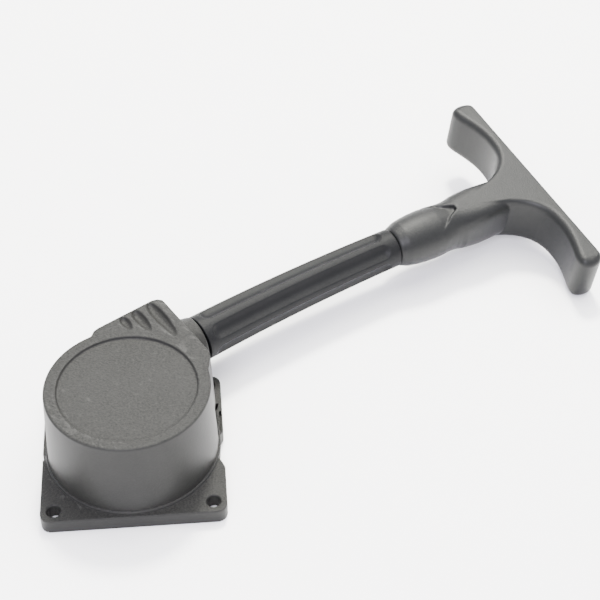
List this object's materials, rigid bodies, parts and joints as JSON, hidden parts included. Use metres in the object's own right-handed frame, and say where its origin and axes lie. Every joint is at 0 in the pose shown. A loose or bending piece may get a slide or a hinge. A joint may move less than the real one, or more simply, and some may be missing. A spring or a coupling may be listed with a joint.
{
  "type": "recoil starter",
  "caption": "Pull starter for a small engine: square-flanged drum housing with a sprung cord reel, a fluted sleeve over the cord and a T grip.",
  "frame": {"origin": "middle of the whole part seen from above, on the surface that the flange lies on", "axes": "+Z out of the flange along the reel axis, +X along the flange's front edge towards the grip, +Y along its side edge"},
  "size_m": [0.1462, 0.1278, 0.0248],
  "materials": {
    "housing_plastic": "dark grey moulded nylon with a fine sandblast grain",
    "grip_plastic": "dark grey moulded nylon, slightly glossier than the housing",
    "sleeve_rubber": "dark grey flexible moulding, satin",
    "reel_plastic": "natural nylon",
    "cage_plastic": "black moulded cage",
    "eyelet_steel": "polished turned steel",
    "zinc_steel": "zinc plated",
    "bearing_steel": "ground bearing steel",
    "spring_steel": "blued spring strip",
    "cord": "braided nylon cord"
  },
  "bodies": {
    "housing": {"housing": "housing_plastic", "exit_eyelet": "eyelet_steel", "reel_washer": "zinc_steel", "reel_screw": "zinc_steel", "recoil_spring": "spring_steel"},
    "reel": {"reel": "reel_plastic", "clutch_shell": "bearing_steel", "cord_winding": "cord", "reel_knot": "cord"},
    "clutch_cage": {"clutch_cage": "cage_plastic", "clutch_roller_1": "bearing_steel", "clutch_roller_2": "bearing_steel", "clutch_roller_3": "bearing_steel", "clutch_roller_4": "bearing_steel", "clutch_roller_5": "bearing_steel", "clutch_roller_6": "bearing_steel"},
    "sleeve": {"sleeve": "sleeve_rubber", "cord_run": "cord"},
    "grip": {"grip": "grip_plastic", "grip_washer": "zinc_steel", "grip_knot": "cord"}
  },
  "joints": [
    {"name": "handle_pull", "type": "slide", "parent": "housing", "child": "sleeve", "axis": [0.866, 0.5, 0], "range_m": [0, 0.4], "stiffness_N_per_m": 8, "springref_m": -0.375, "deforming": ["cord_run"]},
    {"name": "reel_spin", "type": "hinge", "parent": "housing", "child": "reel", "pos_m": [-0.05121, -0.04212, 0], "axis": [0, 0, 1], "range_deg": [-1820, 0], "deforming": ["recoil_spring"]},
    {"name": "clutch_overrun", "type": "hinge", "parent": "reel", "child": "clutch_cage", "pos_m": [-0.05121, -0.04212, 0], "axis": [0, 0, 1], "continuous": true},
    {"name": "grip_swivel", "type": "hinge", "parent": "sleeve", "child": "grip", "pos_m": [0.01844, 0.01515, 0.0124], "axis": [0.9041, 0.4274, 0], "continuous": true}
  ],
  "couplings": [
    {"joint": "reel_spin", "follows": "handle_pull", "rad_per_m": -78.74}
  ]
}
